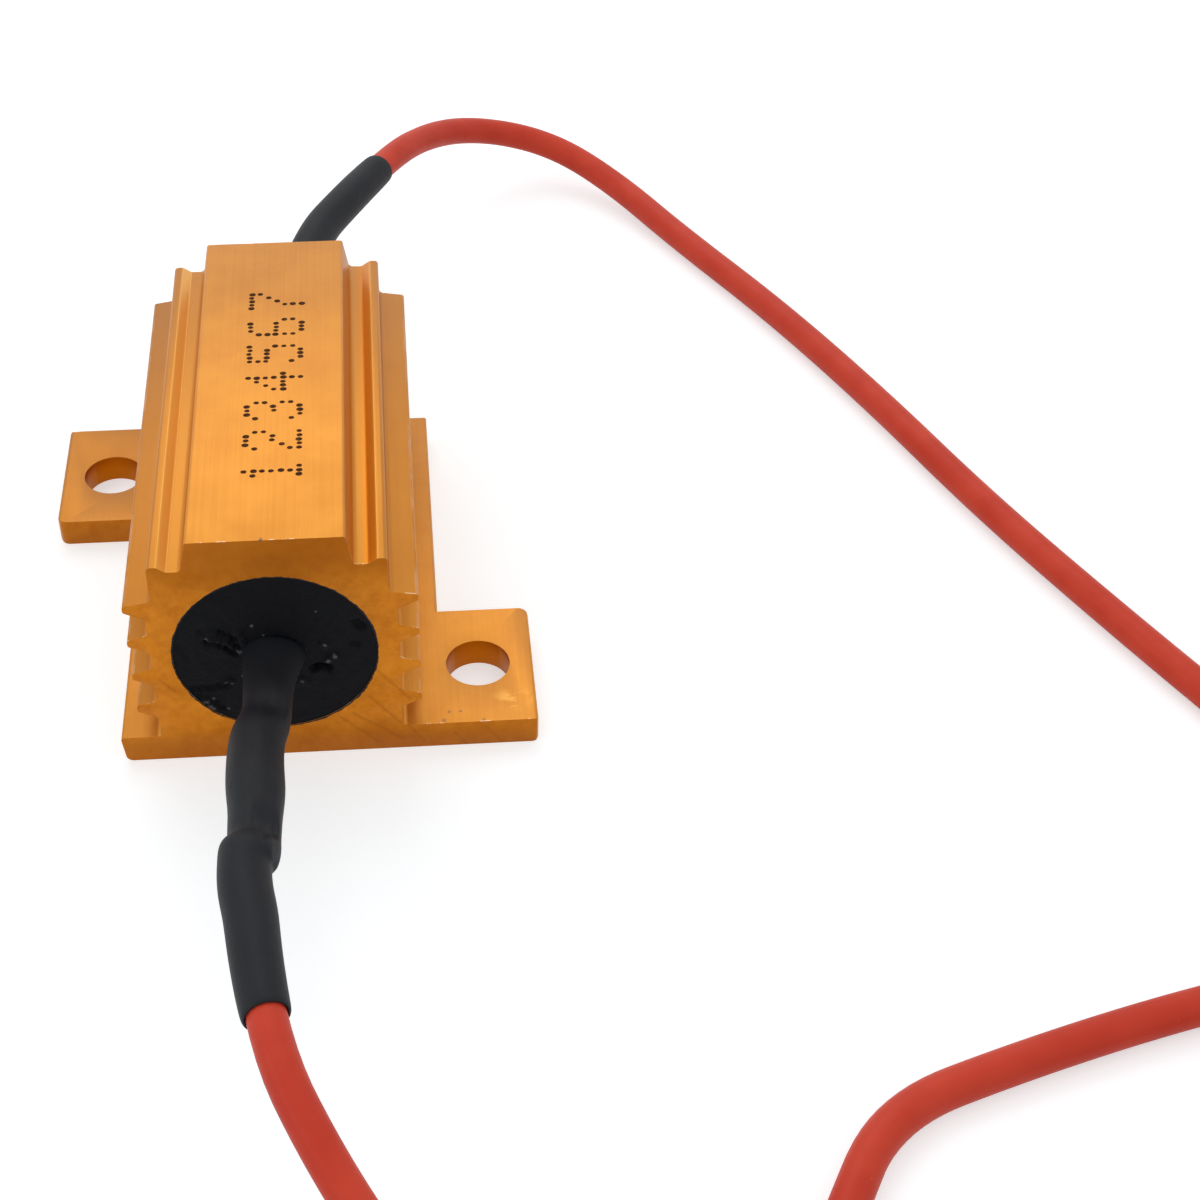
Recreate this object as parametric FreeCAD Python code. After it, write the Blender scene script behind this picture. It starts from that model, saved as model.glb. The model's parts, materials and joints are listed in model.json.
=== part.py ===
import FreeCAD, Part
import math
import os

# Aluminium-clad wirewound power resistor with two sleeved leads. Millimetres.
# X runs across the fins, Y along the bore, Z up; the origin is the centre of the base's underside.

# Share of the shorter run that a rounded corner may take
corner_share = 0.45

# Housing extrusion
body_length = 27.5
body_height = 15.5
base_half_width = 8.8
base_thickness = 1.75
base_lean = 0.2
base_edge_radius = 0.4
wall_half_width = 6.55
strip_half_width = 4.05
strip_foot_half_width = 4.4
strip_edge_radius = 0.15

# Saw-tooth fins on each side
tooth_count = 4
tooth_pitch = 2.4
first_tooth_height = 3.95
tooth_tip_half_width = 7.65
tooth_nose = 0.42
tooth_upper_drop = 0.3
tooth_under_rise = 0.55
tooth_nose_radius = 0.17
groove_radius = 0.3

# Shoulder, ridge and valley beside the top strip
shoulder_half_width = 6.15
shoulder_drop = 0.25
ridge_height = 13.95
ridge_inner_half_width = 5.65
valley_height = 13.6
valley_outer_half_width = 5.15
ridge_radius = 0.25

# Mounting ears, one at each end on opposite sides
ear_reach = 14.0
ear_length = 9.0
ear_front_radius = 0.25
ear_corner_radius = 0.6
ear_edge_radius = 0.35
hole_radius = 1.8
hole_from_edge = 3.1
hole_from_end = 4.6

# Bore and what it holds
bore_radius = 5.4
bore_height = 7.55
fill_recess = 0.05
core_radius = 2.6
core_length = 17.0
cap_wall = 0.35
cap_depth = 2.6
ribbon_width = 0.7
ribbon_thickness = 0.3
ribbon_pitch = 2.4
winding_clearance = 0.04

# Flat terminals
shank_radius = 0.8
shank_stand_out = 0.8
blade_reach = 12.3
blade_width = 1.3
blade_thickness = 0.4
blade_tip_radius = 0.55
blade_offset = -0.25
eyelet_radius = 0.4
eyelet_from_tip = 1.3

# Leads
lead_diameter = 1.9
conductor_diameter = 0.9
strip_length = 3.2
lead_length = 200.0
tip_length = 6.0
coil_radius = 12.1
coil_gap = 0.2
ground_clearance = 0.01

# Solder
solder_half_length = 1.4
solder_taper = 0.6
solder_radius = 0.7
solder_film = 0.05

# Shrunk sleeves
sleeve_wall = 0.2
sleeve_clearance = 0.05
sleeve_slack = 0.47
sleeve_rise = 0.27
sleeve_mouth_half_width = 1.5
sleeve_mouth_half_height = 0.9
sleeve_step = 0.1
sleeve_settle = 2.0
sleeve_over_lead = 9.2

half_length = body_length / 2
lead_radius = lead_diameter / 2
conductor_radius = conductor_diameter / 2
ground = lead_radius + ground_clearance
blade_top = bore_height + blade_offset + blade_thickness / 2
lead_height = blade_top + solder_film + conductor_radius
face_at = half_length - fill_recess

# Route of each lead from its stripped end inside the sleeve to the start of its coil:
# across, out from its own end of the housing, and up. Below zero it runs back beside the housing.
near_route = [
    (-1.1, 13.55, lead_height),
    (-0.6, 23.25, lead_height),
    (3.2, 31.25, 6.0),
    (8.4, 37.65, 2.6),
    (15.2, 40.45, ground),
    (21.6, 37.65, ground),
    (25.0, 31.25, ground),
    (28.2, 25.65, ground),
    (35.2, 23.25, ground),
    (42.6, 21.15, ground),
    (49.6, 19.65, ground),
    (55.6, 19.25, ground),
]
far_route = [
    (2.45, 13.55, lead_height),
    (6.7, 21.95, lead_height),
    (10.6, 28.75, 6.2),
    (15.1, 31.95, 4.3),
    (19.9, 31.95, 2.7),
    (24.1, 28.15, 1.5),
    (28.0, 21.45, ground),
    (33.6, 11.45, ground),
    (38.5, 1.05, ground),
    (43.1, -10.15, ground),
    (48.2, -20.55, ground),
    (53.1, -29.95, ground),
    (56.8, -36.15, ground),
]


def vec(x, y, z=0.0):
    return FreeCAD.Vector(x, y, z)


def unit(v):
    return v.multiply(1.0 / v.Length)


def placed(route, side):
    """Points of a route at its end of the housing; side -1 is near, +1 far."""
    return [vec(across, side * (half_length + out), up) for across, out, up in route]


def side_of(points):
    return 1 if points[0].y > 0 else -1


def rounded_edges(corners):
    """Lines and tangent arcs through a closed ring of (point, radius) corners."""
    count = len(corners)
    starts, ends, arcs = [], [], []
    for i, (point, radius) in enumerate(corners):
        before = corners[i - 1][0]
        after = corners[(i + 1) % count][0]
        back = unit(before - point)
        on = unit(after - point)
        half = back.getAngle(on) / 2
        room = corner_share * min((before - point).Length, (after - point).Length)
        setback = min(radius / math.tan(half), room)
        if setback < 1e-6:
            starts.append(point)
            ends.append(point)
            arcs.append(None)
            continue
        size = setback * math.tan(half)
        middle_way = unit(back + on)
        middle = point + middle_way * (size / math.sin(half) - size)
        starts.append(point + back * setback)
        ends.append(point + on * setback)
        arcs.append(Part.Arc(starts[-1], middle, ends[-1]).toShape())
    edges = []
    for i in range(count):
        if arcs[i]:
            edges.append(arcs[i])
        if (ends[i] - starts[(i + 1) % count]).Length > 1e-7:
            edges.append(Part.LineSegment(ends[i], starts[(i + 1) % count]).toShape())
    return edges


def rounded_face(corners):
    return Part.Face(Part.Wire(rounded_edges(corners)))


def housing_side():
    """Corners (x, z, radius) of one side of the extrusion, from the base up to the top strip."""
    side = [(base_half_width - base_lean, 0.0, base_edge_radius),
            (base_half_width, base_thickness, tooth_nose_radius),
            (wall_half_width, base_thickness, groove_radius)]
    for i in range(tooth_count):
        tip = first_tooth_height + i * tooth_pitch
        low, high = tip - tooth_nose / 2, tip + tooth_nose / 2
        side.append((wall_half_width, low - tooth_under_rise, groove_radius))
        side.append((tooth_tip_half_width, low, tooth_nose_radius))
        side.append((tooth_tip_half_width, high, tooth_nose_radius))
        if i < tooth_count - 1:
            side.append((wall_half_width, high + tooth_upper_drop, groove_radius))
        else:
            side.append((shoulder_half_width, high + shoulder_drop, groove_radius))
    side += [(shoulder_half_width, ridge_height, ridge_radius),
             (ridge_inner_half_width, ridge_height, ridge_radius),
             (valley_outer_half_width, valley_height, groove_radius),
             (strip_foot_half_width, valley_height, groove_radius),
             (strip_half_width, body_height, strip_edge_radius)]
    return side


def make_ear(side):
    """Plate of one ear: side +1 is the near right one, -1 the far left one."""
    inner, outer = side * wall_half_width, side * ear_reach
    end = -side * half_length
    inside = end + side * ear_length
    corners = [(vec(inner, end), 0.0), (vec(outer, end), ear_front_radius),
               (vec(outer, inside), ear_corner_radius), (vec(inner, inside), 0.0)]
    plan = rounded_face(corners).extrude(vec(0, 0, base_thickness))
    corners = [(vec(inner, end), 0.0), (vec(outer, end), ear_edge_radius),
               (vec(outer, end, base_thickness), tooth_nose_radius), (vec(inner, end, base_thickness), 0.0)]
    profile = rounded_face(corners).extrude(vec(0, side * ear_length, 0))
    return plan.common(profile)


def hole_places():
    across = ear_reach - hole_from_edge
    return [(side * across, -side * (half_length - hole_from_end)) for side in (1, -1)]


def make_housing():
    side = housing_side()
    ring = [(vec(x, -half_length, z), r) for x, z, r in side]
    ring += [(vec(-x, -half_length, z), r) for x, z, r in reversed(side)]
    body = rounded_face(ring).extrude(vec(0, body_length, 0))
    body = body.fuse([make_ear(1), make_ear(-1)]).removeSplitter()
    for x, y in hole_places():
        body = body.cut(Part.makeCylinder(hole_radius, base_thickness * 3, vec(x, y, -base_thickness)))
    bore = Part.makeCylinder(bore_radius, body_length + 2, vec(0, -half_length - 1, bore_height), vec(0, 1, 0))
    return body.cut(bore)


def rod(radius, start, length):
    """Round bar along Y on the bore's axis."""
    return Part.makeCylinder(radius, length, vec(0, start, bore_height), vec(0, 1, 0))


def cap_outer_radius():
    return core_radius + cap_wall


def make_core():
    return rod(core_radius, -core_length / 2, core_length)


def make_cap(side):
    """Cup pressed over one end of the core; side -1 is near, +1 far."""
    end = core_length / 2 + cap_wall
    mouth = end - cap_wall - cap_depth
    start = -end if side < 0 else mouth
    cup = rod(cap_outer_radius(), start, end - mouth)
    return cup.cut(make_core())


def make_winding():
    """Resistance ribbon wound round the core, between the caps."""
    span = core_length - 2 * cap_depth - ribbon_width - 2 * winding_clearance
    inner = core_radius + winding_clearance
    outer = inner + ribbon_thickness
    half = ribbon_width / 2
    helix = Part.makeHelix(ribbon_pitch, span, inner)
    corners = [vec(x, 0, z) for x, z in ((inner, -half), (outer, -half), (outer, half), (inner, half))]
    coil = Part.Wire(helix.Edges).makePipeShell([Part.makePolygon(corners + corners[:1])], True, True)
    coil.translate(vec(0, 0, -span / 2))
    coil.rotate(vec(0, 0, 0), vec(1, 0, 0), -90)
    coil.translate(vec(0, 0, bore_height))
    return coil


def make_fill(terminals):
    """Moulded filling of the bore, round the wound core and the shanks."""
    fill = rod(bore_radius, -face_at, 2 * face_at)
    pocket_radius = max(cap_outer_radius(), core_radius + ribbon_thickness + 2 * winding_clearance)
    half_pocket = core_length / 2 + cap_wall
    fill = fill.cut(rod(pocket_radius, -half_pocket, 2 * half_pocket))
    return fill.cut(terminals)


def lead_way(route):
    return unit(route[1] - route[0])


def joint_middle(route):
    """Middle of the stripped strands, where they are soldered."""
    return route[0] - lead_way(route) * (strip_length / 2)


def blade_root(route):
    return vec(0, side_of(route) * (face_at + shank_stand_out / 2), bore_height)


def blade_way(route):
    """Direction of a blade, bent a little from the bore's axis to meet its lead."""
    way = joint_middle(route) - blade_root(route)
    return unit(vec(way.x, way.y))


def make_terminal(route):
    """Round shank welded to the cap, flattened outside into a blade with an eyelet."""
    side = side_of(route)
    shank_from = core_length / 2 + cap_wall
    shank_to = face_at + shank_stand_out
    start = shank_from if side > 0 else -shank_to
    shank = rod(shank_radius, start, shank_to - shank_from)
    half = blade_width / 2
    low = -blade_thickness / 2
    outline = [(vec(0, -half, low), 0.0), (vec(blade_reach, -half, low), blade_tip_radius),
               (vec(blade_reach, half, low), blade_tip_radius), (vec(0, half, low), 0.0)]
    blade = rounded_face(outline).extrude(vec(0, 0, blade_thickness))
    blade = blade.cut(Part.makeCylinder(eyelet_radius, blade_thickness * 3,
                                        vec(blade_reach - eyelet_from_tip, 0, -blade_thickness * 1.5)))
    way = blade_way(route)
    blade.rotate(vec(0, 0, 0), vec(0, 0, 1), math.degrees(math.atan2(way.y, way.x)))
    blade.translate(blade_root(route) + vec(0, 0, blade_offset))
    return shank.fuse(blade).removeSplitter()


def make_conductor(route):
    """Stripped strands laid on the blade."""
    way = lead_way(route)
    start = route[0] - way * strip_length
    return Part.makeCylinder(conductor_radius, strip_length, start, way)


def make_solder(route):
    """Barrel of solder round the strands, flat where it wets the blade's upper face."""
    way = lead_way(route)
    across = vec(way.y, -way.x, 0)
    middle = joint_middle(route)
    full = solder_half_length - solder_taper
    profile = [(-solder_half_length, 0.0), (-solder_half_length, conductor_radius), (-full, solder_radius),
               (full, solder_radius), (solder_half_length, conductor_radius), (solder_half_length, 0.0)]
    points = [middle + way * along + across * out for along, out in profile]
    barrel = Part.Face(Part.makePolygon(points + points[:1])).revolve(middle, way, 360)
    barrel = barrel.cut(make_conductor(route))
    room = 4 * solder_half_length
    above = Part.makeBox(room, room, room, vec(middle.x - room / 2, middle.y - room / 2, blade_top))
    return barrel.common(above)


def lead_edges(route, name):
    """Straight runs joined by tangent arcs, each arc as large as its two runs allow."""
    edges = []
    radii = []
    at = route[0]
    for i in range(1, len(route) - 1):
        back = route[i - 1] - route[i]
        on = route[i + 1] - route[i]
        setback = corner_share * min(back.Length, on.Length)
        back = unit(back)
        on = unit(on)
        half = back.getAngle(on) / 2
        radius = setback * math.tan(half)
        middle = route[i] + unit(back + on) * (radius / math.sin(half) - radius)
        first = route[i] + back * setback
        last = route[i] + on * setback
        edges.append(Part.LineSegment(at, first).toShape())
        edges.append(Part.Arc(first, middle, last).toShape())
        radii.append(round(radius, 1))
        at = last
    edges.append(Part.LineSegment(at, route[-1]).toShape())
    print(name, "bend radii", radii)
    return edges


def make_lead(edges, name):
    """Insulated lead, from its stripped end to the start of its coil."""
    path = Part.Wire(edges)
    first = edges[0]
    start = first.valueAt(first.FirstParameter)
    way = first.tangentAt(first.FirstParameter)
    section = Part.Wire(Part.makeCircle(lead_radius, start, way))
    lead = path.makePipeShell([section], True, True)
    share = lead.Volume / (math.pi * lead_radius ** 2 * path.Length)
    print(name, "length", round(path.Length, 1), "volume share", round(share, 4))
    return lead


class Coil:
    """Flat spiral on the ground: half circles, each tighter by half a pitch than the one before."""

    def __init__(self, route, turn, length):
        self.turn = turn
        start = route[-1]
        way = unit(start - route[-2])
        self.inward = vec(-way.y * turn, way.x * turn)
        self.centre = vec(start.x, start.y) + self.inward * coil_radius
        self.pitch = lead_diameter + coil_gap
        self.halves = []
        left = length
        while left > 1e-6:
            radius = coil_radius - len(self.halves) * self.pitch / 2
            angle = min(math.pi, left / radius)
            self.halves.append((radius, angle))
            left -= radius * angle
        self.end = (len(self.halves) - 1) * math.pi + self.halves[-1][1]

    def centre_of(self, half):
        shift = self.pitch / 2 if half % 2 else 0.0
        return self.centre + self.inward * shift

    def point(self, angle, offset=0.0, half=None, z=0.0):
        """Point of the spiral's line at a turned angle, moved outward by offset."""
        if half is None:
            half = min(int(angle / math.pi + 1e-9), len(self.halves) - 1)
        radius = coil_radius - half * self.pitch / 2 + offset
        a = angle * self.turn
        out = self.inward * -1
        spoke = vec(out.x * math.cos(a) - out.y * math.sin(a), out.x * math.sin(a) + out.y * math.cos(a))
        at = self.centre_of(half) + spoke * radius
        return vec(at.x, at.y, z)

    def loop(self, start, offset):
        """One full turn from a start angle, closed by a radial step."""
        stop = start + 2 * math.pi
        edges = []
        at = start
        while at < stop - 1e-9:
            half = int(at / math.pi + 1e-9)
            to = min((half + 1) * math.pi, stop)
            arc = [self.point(a, offset, half) for a in (at, (at + to) / 2, to)]
            edges.append(Part.Arc(*arc).toShape())
            at = to
        last = self.point(stop, offset, int(stop / math.pi - 1e-9))
        first = self.point(start, offset, int(start / math.pi + 1e-9))
        edges.append(Part.LineSegment(last, first).toShape())
        return Part.Wire(edges)

    def solid(self):
        outer = Part.Face(self.loop(0.0, lead_radius))
        inner = Part.Face(self.loop(self.end - 2 * math.pi, -lead_radius))
        ring = outer.cut(inner).extrude(vec(0, 0, lead_diameter))
        ring.translate(vec(0, 0, ground_clearance))
        return ring

    def tip(self):
        """Stripped and tinned strands that go on along the inmost turn."""
        half = len(self.halves) - 1
        radius = self.halves[-1][0]
        sweep = tip_length / radius
        arc = [self.point(self.end + share * sweep, 0.0, half, ground) for share in (0.0, 0.5, 1.0)]
        edge = Part.Arc(*arc).toShape()
        way = edge.tangentAt(edge.FirstParameter)
        section = Part.Wire(Part.makeCircle(conductor_radius, arc[0], way))
        return Part.Wire([edge]).makePipeShell([section], True, True)


def oval_section(at, way, half_width, half_height):
    """Upright oval across a way that is nearly level, its seam at the side; never taller than wide."""
    across = unit(vec(way.y, -way.x))
    rise = way.cross(across)
    if half_width - half_height > 1e-6:
        oval = Part.Ellipse(vec(half_width, 0), vec(0, half_height), vec(0, 0)).toShape()
    else:
        oval = Part.makeCircle(half_width)
    oval.Placement = FreeCAD.Placement(FreeCAD.Matrix(across.x, rise.x, way.x, at.x,
                                                      across.y, rise.y, way.y, at.y,
                                                      across.z, rise.z, way.z, at.z,
                                                      0, 0, 0, 1))
    return Part.Wire([oval])


def stretch(edges, start, stop):
    """The part of a lead's line between two distances along it."""
    kept = []
    for edge in edges:
        low, high = max(start, 0.0), min(stop, edge.Length)
        if high - low > 1e-6:
            ends = [edge.getParameterByLength(d) for d in (low, high)]
            kept.append(edge.Curve.toShape(*ends))
        start -= edge.Length
        stop -= edge.Length
    return kept


def sleeve_skin(route, edges, grow):
    """Inner or outer skin of a sleeve, with its two end rings; the outer one is grown by the wall."""
    side = side_of(route)
    way = blade_way(route)
    root = blade_root(route)
    low = blade_top - blade_thickness
    high = lead_height + solder_radius
    mouth = vec(0, side * face_at, bore_height)
    half_width = blade_width / 2 + sleeve_slack
    half_height = (high - low) / 2 + sleeve_rise
    rings = [oval_section(mouth, vec(0, side, 0), sleeve_mouth_half_width + grow,
                          sleeve_mouth_half_height + grow)]
    for reach, share in ((blade_reach / 3, 0.5), (blade_reach * 2 / 3, 0.9), (blade_reach, 1.0)):
        at = root + way * reach
        at.z = bore_height + ((high + low) / 2 - bore_height) * share
        wide = sleeve_mouth_half_width + (half_width - sleeve_mouth_half_width) * share
        tall = sleeve_mouth_half_height + (half_height - sleeve_mouth_half_height) * share
        rings.append(oval_section(at, way, wide + grow, tall + grow))
    snug = lead_radius + sleeve_clearance + grow
    along = lead_way(route)
    start = route[0]
    rings.append(oval_section(start, along, snug + sleeve_step, snug + sleeve_step))
    rings.append(oval_section(start + along * sleeve_settle, along, snug, snug))
    loose = Part.makeLoft(rings, False, True)
    line = Part.Wire(stretch(edges, sleeve_settle, sleeve_over_lead))
    tight = line.makePipeShell([rings[-1]], False, True)
    last = line.Edges[-1]
    end = oval_section(last.valueAt(last.LastParameter), last.tangentAt(last.LastParameter), snug, snug)
    return loose.Faces + tight.Faces, rings[0], end


def make_sleeve(route, edges):
    """Shrunk tube over the blade, the joint and the lead's first stretch."""
    faces, outer_mouth, outer_end = sleeve_skin(route, edges, sleeve_wall)
    inner_faces, inner_mouth, inner_end = sleeve_skin(route, edges, 0.0)
    faces += inner_faces
    for pair in ([outer_mouth, inner_mouth], [outer_end, inner_end]):
        faces.append(Part.makeFace(pair, "Part::FaceMakerBullseye"))
    shell = Part.makeShell(faces)
    shell.sewShape()
    sleeve = Part.makeSolid(Part.Shell(shell.Faces))
    return sleeve if sleeve.Volume > 0 else sleeve.reversed()


def save(name, shape):
    if len(shape.Solids) != 1 or not shape.isValid():
        print("check", name, "solids", len(shape.Solids), "valid", shape.isValid())
    solid = shape.Solids[0]
    solid.exportStep("parts/" + name + ".step")
    return solid


def main():
    os.makedirs("parts", exist_ok=True)
    made = {"housing": make_housing(), "ceramic_core": make_core(), "resistance_wire": make_winding()}
    terminals = []
    for end, side, way_points, turn in (("near", -1, near_route, -1), ("far", 1, far_route, 1)):
        route = placed(way_points, side)
        made["end_cap_" + end] = make_cap(side)
        terminal = make_terminal(route)
        terminals.append(terminal)
        conductor = make_conductor(route)
        solder = make_solder(route)
        edges = lead_edges(route, end)
        lead = make_lead(edges, end)
        coil = Coil(route, turn, lead_length - Part.Wire(edges).Length)
        print(end, "coil turns", round(coil.end / (2 * math.pi), 2), "centre",
              round(coil.centre.x, 2), round(coil.centre.y, 2))
        made["terminal_" + end] = terminal
        made["conductor_" + end] = conductor
        made["solder_joint_" + end] = solder
        made["lead_" + end] = lead
        made["lead_" + end + "_coil"] = coil.solid()
        made["lead_" + end + "_tip"] = coil.tip()
        made["sleeve_" + end] = make_sleeve(route, edges)
    made["potting_fill"] = make_fill(terminals)
    return {name: save(name, shape) for name, shape in made.items()}


parts = main()
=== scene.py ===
import bpy
import json
import math
import random
from mathutils import Matrix, Vector

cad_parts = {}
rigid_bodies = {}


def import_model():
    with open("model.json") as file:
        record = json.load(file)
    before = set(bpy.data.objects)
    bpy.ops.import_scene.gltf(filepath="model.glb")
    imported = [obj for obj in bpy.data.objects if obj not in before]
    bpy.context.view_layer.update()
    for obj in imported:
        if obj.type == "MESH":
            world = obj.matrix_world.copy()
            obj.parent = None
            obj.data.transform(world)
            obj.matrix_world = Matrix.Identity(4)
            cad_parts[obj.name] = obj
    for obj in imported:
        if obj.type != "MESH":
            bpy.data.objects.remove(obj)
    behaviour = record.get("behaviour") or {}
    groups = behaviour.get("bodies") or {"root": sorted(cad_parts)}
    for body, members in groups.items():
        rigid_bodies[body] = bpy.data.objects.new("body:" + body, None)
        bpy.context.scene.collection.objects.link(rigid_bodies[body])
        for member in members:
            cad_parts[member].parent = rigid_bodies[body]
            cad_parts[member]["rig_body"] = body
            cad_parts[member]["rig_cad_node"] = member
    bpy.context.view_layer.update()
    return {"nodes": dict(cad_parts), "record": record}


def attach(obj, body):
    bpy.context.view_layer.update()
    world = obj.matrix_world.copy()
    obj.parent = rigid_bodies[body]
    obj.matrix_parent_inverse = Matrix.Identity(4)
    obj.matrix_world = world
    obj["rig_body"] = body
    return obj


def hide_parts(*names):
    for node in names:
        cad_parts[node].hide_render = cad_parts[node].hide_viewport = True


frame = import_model()
nodes = frame["nodes"]
mm = 0.001
shortest = 1e-6             # lengths below this count as none
print("frame loaded:", len(nodes), "nodes")


# Camera, at the photograph's angle
camera = {
    "azimuth": -4.084,
    "elevation": 39.781,
    "roll": 0.187,
    "distance": 0.126509,
    "target": (0.013987, 0.001136, 0.005),
    "lens": 63.99,
    "shiftX": 0.0667,
    "shiftY": -0.0833,
    "sensorWidth": 36,
    "clip": (0.005, 20),
}
turn = Matrix.Rotation(math.radians(camera["azimuth"]), 3, "Z")
turn = turn @ Matrix.Rotation(math.radians(90 - camera["elevation"]), 3, "X")
turn = turn @ Matrix.Rotation(math.radians(camera["roll"]), 3, "Z")
place = Vector(camera["target"]) + turn @ Vector((0, 0, camera["distance"]))
bpy.ops.object.camera_add(location=place, rotation=turn.to_euler())
photoCamera = bpy.context.object
photoCamera.data.lens = camera["lens"]
photoCamera.data.sensor_width = camera["sensorWidth"]
photoCamera.data.shift_x = camera["shiftX"]
photoCamera.data.shift_y = camera["shiftY"]
photoCamera.data.clip_start, photoCamera.data.clip_end = camera["clip"]
bpy.context.scene.camera = photoCamera
print("camera set")


# Leads: the route's points from the stripped end to the coil, then half turns round the coil
onTable = 0.00096           # height of a lead's centre line where it lies on the table
leads = {
    "diameter": 0.0019,
    "length": 0.2,
    "coilRadius": 0.0121,
    "coilPitch": 0.0021,
    "pointsPerTurn": 14,
    "stepsPerPoint": 10,
    "roundness": 6,         # rings of faces round a quarter of the section
    "near": {
        "turn": -1,
        "inCoil": 0.117,        # length from the coil's start to the bare end
        "coilStart": (0.0556, -0.0330, onTable),
        "points": [
            (-0.0011, -0.0273, 0.0080), (-0.0006, -0.0370, 0.0080), (0.0032, -0.0450, 0.0060),
            (0.0084, -0.0514, 0.0026), (0.0152, -0.0542, onTable), (0.0216, -0.0514, onTable),
            (0.0250, -0.0450, onTable), (0.0282, -0.0394, onTable), (0.0352, -0.0370, onTable),
            (0.0426, -0.0349, onTable), (0.0496, -0.0334, onTable),
        ],
    },
    "far": {
        "turn": 1,
        "inCoil": 0.0941,
        "coilStart": (0.0568, -0.0224, onTable),
        "points": [
            (0.00245, 0.0273, 0.0080), (0.0067, 0.0357, 0.0080), (0.0106, 0.0425, 0.0062),
            (0.0151, 0.0457, 0.0043), (0.0199, 0.0457, 0.0027), (0.0241, 0.0419, 0.0015),
            (0.0280, 0.0352, onTable), (0.0336, 0.0252, onTable), (0.0385, 0.0148, onTable),
            (0.0431, 0.0036, onTable), (0.0482, -0.0068, onTable), (0.0531, -0.0162, onTable),
        ],
    },
}


def coilPoints(end, left):
    spec = leads[end]
    start = Vector(spec["coilStart"])
    way = (start - Vector(spec["points"][-1])).normalized()
    inward = Vector((-way.y, way.x, 0)) * spec["turn"]
    centre = start + inward * leads["coilRadius"]
    step = 2 * math.pi / leads["pointsPerTurn"]
    points = []
    half = 0
    while left > shortest:
        radius = leads["coilRadius"] - half * leads["coilPitch"] / 2
        middle = centre + inward * (leads["coilPitch"] / 2 if half % 2 else 0)
        sweep = min(math.pi, left / radius)
        count = max(1, round(sweep / step))
        for i in range(count):
            angle = (half * math.pi + (i + 0.5) * sweep / count) * spec["turn"]
            spoke = Matrix.Rotation(angle, 3, "Z") @ -inward
            points.append(middle + spoke * radius / math.cos(sweep / count / 2))
        left -= radius * sweep
        half += 1
    last = Matrix.Rotation(((half - 1) * math.pi + sweep) * spec["turn"], 3, "Z") @ -inward
    return points + [middle + last * radius]


def layLead(name, end):
    spec = leads[end]
    points = [Vector(p) for p in spec["points"]] + [Vector(spec["coilStart"])]
    points += coilPoints(end, spec["inCoil"])
    line = bpy.data.curves.new(name, "CURVE")
    line.dimensions = "3D"
    spline = line.splines.new("NURBS")
    spline.points.add(len(points) - 1)
    for point, at in zip(spline.points, points):
        point.co = (*at, 1)
        point.radius = leads["diameter"] / 2
    spline.order_u = 3
    spline.use_endpoint_u = True
    line.resolution_u = leads["stepsPerPoint"]
    line.bevel_depth = 1        # times each point's radius
    line.bevel_resolution = leads["roundness"]
    line.use_fill_caps = True
    lead = bpy.data.objects.new(name, line)
    bpy.context.scene.collection.objects.link(lead)
    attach(lead, "root")
    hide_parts("lead_" + end, "lead_" + end + "_coil")
    return lead


def centreLine(lead):
    copy = lead.data.copy()
    copy.bevel_depth = 0
    bare = bpy.data.objects.new("bareLine", copy)
    mesh = bpy.data.meshes.new_from_object(bare)
    points = [v.co.copy() for v in mesh.vertices]
    bpy.data.meshes.remove(mesh)
    bpy.data.objects.remove(bare)
    return points


def alongLine(points, distance):
    for a, b in zip(points, points[1:]):
        run = (b - a).length
        if distance <= run:
            return a.lerp(b, distance / run)
        distance -= run
    return points[-1]


leadNear = layLead("leadNear", "near")
leadFar = layLead("leadFar", "far")
nearLine = centreLine(leadNear)
farLine = centreLine(leadFar)
print("leads laid")
for label, line in (("near", nearLine), ("far", farLine)):
    length = sum((b - a).length for a, b in zip(line, line[1:]))
    print(label, "length", round(length, 4), "of", len(line), "points")


# Shader helpers: a wrapped socket for sums, a node tree, and one material at a time
class Signal:
    def __init__(self, graph, socket):
        self.graph = graph
        self.socket = socket

    def math(self, operation, *others):
        sockets = dict(enumerate((self,) + others))
        return self.graph.node("ShaderNodeMath", {"operation": operation}, sockets)

    def __add__(self, other):
        return self.math("ADD", other)

    def __sub__(self, other):
        return self.math("SUBTRACT", other)

    def __rsub__(self, other):
        return (self * -1) + other

    def __mul__(self, other):
        return self.math("MULTIPLY", other)

    def __gt__(self, other):
        return self.math("GREATER_THAN", other)

    def __lt__(self, other):
        return self.math("LESS_THAN", other)

    __radd__ = __add__
    __rmul__ = __mul__

    def size(self):
        return self.math("ABSOLUTE")

    def root(self):
        return self.math("SQRT")

    def between(self, low, high):  # 0 at low, 1 at high, smooth
        settings = {"interpolation_type": "SMOOTHSTEP"}
        return self.graph.node("ShaderNodeMapRange", settings, {0: self, 1: low, 2: high})


class Graph:
    def __init__(self, tree):
        self.tree = tree

    def node(self, kind, settings, sockets, output=0):
        made = self.tree.nodes.new(kind)
        for name, value in settings.items():
            setattr(made, name, value)
        for name, value in sockets.items():
            if isinstance(value, Signal):
                self.tree.links.new(value.socket, made.inputs[name])
            else:
                made.inputs[name].default_value = value
        return Signal(self, made.outputs[output])

    def vector(self, operation, a, b):
        return self.node("ShaderNodeVectorMath", {"operation": operation}, {0: a, 1: b})

    def parts(self, vector):
        split = self.tree.nodes.new("ShaderNodeSeparateXYZ")
        self.tree.links.new(vector.socket, split.inputs[0])
        return [Signal(self, split.outputs[i]) for i in range(3)]


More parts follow.
